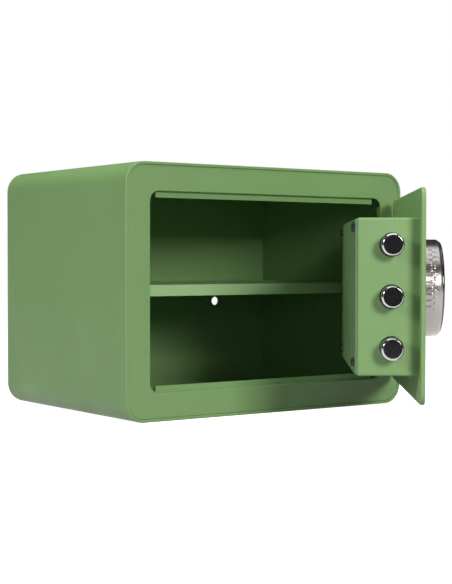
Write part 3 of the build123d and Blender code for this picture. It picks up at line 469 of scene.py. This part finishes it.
def make_knob_ring():
    """Ring with a bevelled back, a grip, a shoulder in from its side, and a crest around the panel."""
    grip_low, grip_high = GRIP_ROWS[0] - GRIP_HALF_LENGTH, GRIP_ROWS[1] + GRIP_HALF_LENGTH
    level = (grip_high - grip_low) / GRIP_LEVELS
    wall = PANEL_RADIUS + PANEL_GAP
    profile = [(KNOB_BORE, KNOB_BACK), (SIDE_RADIUS - BACK_BEVEL_IN, KNOB_BACK)]
    profile += [(SIDE_RADIUS, KNOB_BACK + BACK_BEVEL_UP)]
    profile += [(SIDE_RADIUS, grip_low + level * step) for step in range(GRIP_LEVELS + 1)]
    profile += [(SIDE_RADIUS - inward, KNOB_RIM + up) for inward, up in RIM_SHOULDER]
    profile += [(PANEL_RADIUS + outward, KNOB_RIM + up) for outward, up in RIM_CREST]
    profile += [(wall, GAP_TOP), (wall, PANEL_SEAT)]
    profile += [(KNOB_BORE, PANEL_SEAT), (KNOB_BORE, KNOB_BACK)]
    ring = lathe("knob_ring_turned", profile, KNOB_STEPS, grip)
    ring.matrix_world = KNOB_FRAME
    finish_piece(ring, KNOB_METAL, "knob_metal", "knob", "knob_ring")


def make_touch_panel():
    """Round-edged black panel with a fine groove near its edge."""
    profile = [(0, PANEL_BACK), (PANEL_RADIUS, PANEL_BACK)]
    profile += arc_points((PANEL_RADIUS - PANEL_EDGE, PANEL_TOP - PANEL_EDGE), PANEL_EDGE, 0, 90, 10)
    profile += [(PANEL_RADIUS - GROOVE_OUTER, PANEL_TOP)]
    profile += [(PANEL_RADIUS - GROOVE_MIDDLE, PANEL_TOP - GROOVE_DEPTH)]
    profile += [(PANEL_RADIUS - GROOVE_INNER, PANEL_TOP), (0, PANEL_TOP)]
    face = lathe("touch_panel", profile, PANEL_STEPS)
    face.matrix_world = KNOB_FRAME
    finish_piece(face, BLACK_PANEL, "black_panel", "knob", "knob_face")


make_knob_ring()
make_touch_panel()


# Digits: a keypad of three columns printed on the touch panel
KEYS = ("1", "2", "3", "4", "5", "6", "7", "8", "9", "*", "0", "#")
KEY_COLUMNS = 3
KEY_PITCH_X, KEY_PITCH_Y = 15.0, 13.5
DIGIT_SIZE = 8.0
DIGIT_RELIEF = 0.06
DIGIT_CURVE_STEPS = 3


def digit_mesh(name, key):
    """Mesh of one character, made as text and kept as faces."""
    curve = bpy.data.curves.new(name, "FONT")
    curve.body = key
    curve.size = DIGIT_SIZE * MM
    curve.align_x = "CENTER"
    curve.align_y = "CENTER"
    curve.extrude = DIGIT_RELIEF * MM
    curve.resolution_u = DIGIT_CURVE_STEPS
    text = bpy.data.objects.new(name, curve)
    bpy.context.scene.collection.objects.link(text)
    bpy.context.view_layer.update()
    mesh = bpy.data.meshes.new_from_object(text)
    bpy.data.objects.remove(text)
    return mesh


def make_digits():
    """Digits on the touch panel, upright once the knob is turned to its locked end."""
    turn = math.radians(JOINTS["knob_turn"]["range_deg"][1])
    upright = KNOB_FRAME @ Matrix.Rotation(-turn, 4, "Z")
    last_column = KEY_COLUMNS - 1
    last_row = len(KEYS) // KEY_COLUMNS - 1
    for index, key in enumerate(KEYS):
        row, column = divmod(index, KEY_COLUMNS)
        name = f"digit_{index}"
        x = (column - last_column / 2) * KEY_PITCH_X
        y = (last_row / 2 - row) * KEY_PITCH_Y
        digit = bpy.data.objects.new(name, digit_mesh(name, key))
        bpy.context.scene.collection.objects.link(digit)
        digit.matrix_world = upright @ Matrix.Translation(Vector((x, y, PANEL_TOP)) * MM)
        finish_piece(digit, DIGIT, "black_panel", "knob")


make_digits()


# ---------------------------------------------------------------- floor, light and camera

# Camera: angles in degrees, lens and sensor in mm
CAMERA_PLACE = Vector((-0.8352, -1.2171, 0.1569))
CAMERA_YAW = 35.403
CAMERA_PITCH = -1.407
CAMERA_ROLL = 0.069
LENS = 83.14
SENSOR_WIDTH = 36.0

# Studio: distances in metres from MIDDLE, which the lights are aimed at
MIDDLE = Vector((0, -0.12, 0.125))
ROOM_LEVEL = 0.06
FLOOR_HALF_SIDE = 20.0
FLOOR_GLOW = 0.95
# Flag: a dark card seen only in reflections, a painted dark reflection on the bolt ends; FLAG_GLOW is a
# painted glow in place of light falling on it
FLAG_DIRECTION = Vector((-0.48, -0.87, -0.02))
FLAG_DISTANCE = 0.6
FLAG_SIDE = 0.36
FLAG_GLOW = 0.03

# Soft boxes: name, direction from MIDDLE, distance, side, level and colour
LIGHTS = (
    ("key_box", (-0.16, -0.93, 0.30), 1.9, 0.5, 0.67, (1.05, 0.98, 1.01)),
    ("fill_box", (-0.60, -0.78, 0.12), 2.2, 0.6, 0.04, (1.0, 1.0, 1.0)),
    ("side_box", (-0.93, 0.02, 0.38), 1.7, 0.35, 0.43, (1.03, 0.99, 1.0)),
    ("top_box", (-0.06, -0.07, 0.99), 1.6, 1.6, 0.85, (1.0, 1.0, 1.0)),
)


def make_camera():
    data = bpy.data.cameras.new("camera")
    data.lens = LENS
    data.sensor_width = SENSOR_WIDTH
    camera = bpy.data.objects.new("camera", data)
    aim = Euler((math.radians(90 + CAMERA_PITCH), 0, math.radians(-CAMERA_YAW))).to_matrix()
    camera.matrix_world = (aim @ Matrix.Rotation(math.radians(CAMERA_ROLL), 3, "Z")).to_4x4()
    camera.location = CAMERA_PLACE
    bpy.context.scene.collection.objects.link(camera)
    bpy.context.scene.camera = camera


def make_floor():
    """White table. It glows itself, so that only a faint shadow shows under the safe."""
    mesh = bmesh.new()
    bmesh.ops.create_grid(mesh, x_segments=1, y_segments=1, size=FLOOR_HALF_SIDE)
    floor = add_piece("floor", mesh)
    s = Shader("floor_paper")
    paper = s.ramp(s.noise(scale=1.5, detail=2.0), ((0.3, 0.82), (0.7, 0.84)))
    s.join(paper, s.surface.inputs["Base Color"])
    s.set(Roughness=0.9, Specular_IOR_Level=0.1)
    s.set(Emission_Color=(1, 1, 1, 1), Emission_Strength=FLOOR_GLOW)
    floor.data.materials.append(s.material)
    floor.visible_diffuse = False


def make_flag():
    """Dark card in front of the bolts, seen only in reflections: a painted dark reflection on their
    polished ends, with a faint painted glow in place of the light that would fall on it.
    """
    mesh = bmesh.new()
    bmesh.ops.create_grid(mesh, x_segments=1, y_segments=1, size=0.5)
    flag = add_piece("flag", mesh)
    s = Shader("flag_dark_reflection")
    s.join(s.ramp(s.noise(scale=40.0), ((0.3, 0.010), (0.7, 0.020))), s.surface.inputs["Base Color"])
    s.set(Roughness=1.0, Specular_IOR_Level=0.0)
    s.set(Emission_Color=(1, 0.95, 0.98, 1), Emission_Strength=FLAG_GLOW)
    flag.data.materials.append(s.material)
    bolts = node_centre("bolt_middle")
    place = bolts + FLAG_DIRECTION * FLAG_DISTANCE
    flag.matrix_world = (bolts - place).to_track_quat("Z", "Y").to_matrix().to_4x4()
    flag.location = place
    flag.scale = (FLAG_SIDE, FLAG_SIDE, 1)
    for ray in ("camera", "diffuse", "shadow", "transmission", "volume_scatter"):
        setattr(flag, f"visible_{ray}", False)


def make_light(name, direction, distance, side, level, colour):
    """Square soft box. level is how bright it makes a white surface that faces it."""
    data = bpy.data.lights.new(name, "AREA")
    data.shape = "SQUARE"
    data.size = side
    data.energy = level * math.pi**2 * distance**2
    data.color = colour
    light = bpy.data.objects.new(name, data)
    towards = Vector(direction).normalized()
    light.location = MIDDLE + towards * distance
    light.rotation_euler = (-towards).to_track_quat("-Z", "Y").to_euler()
    bpy.context.scene.collection.objects.link(light)


def make_world():
    """Dim even room, with a plain white backdrop behind the safe wherever it is looked at from."""
    world = bpy.data.worlds.new("studio")
    world.use_nodes = True
    bpy.context.scene.world = world
    tree = world.node_tree
    tree.nodes.clear()
    output = tree.nodes.new("ShaderNodeOutputWorld")
    room = tree.nodes.new("ShaderNodeBackground")
    room.inputs["Strength"].default_value = ROOM_LEVEL
    backdrop = tree.nodes.new("ShaderNodeBackground")
    for node in (room, backdrop):
        node.inputs["Color"].default_value = (1, 1, 1, 1)
    path = tree.nodes.new("ShaderNodeLightPath")
    mix = tree.nodes.new("ShaderNodeMixShader")
    tree.links.new(path.outputs["Is Camera Ray"], mix.inputs[0])
    tree.links.new(room.outputs[0], mix.inputs[1])
    tree.links.new(backdrop.outputs[0], mix.inputs[2])
    tree.links.new(mix.outputs[0], output.inputs["Surface"])


make_camera()
make_floor()
make_flag()
make_world()
for light in LIGHTS:
    make_light(*light)
bpy.context.scene.view_settings.view_transform = "Standard"
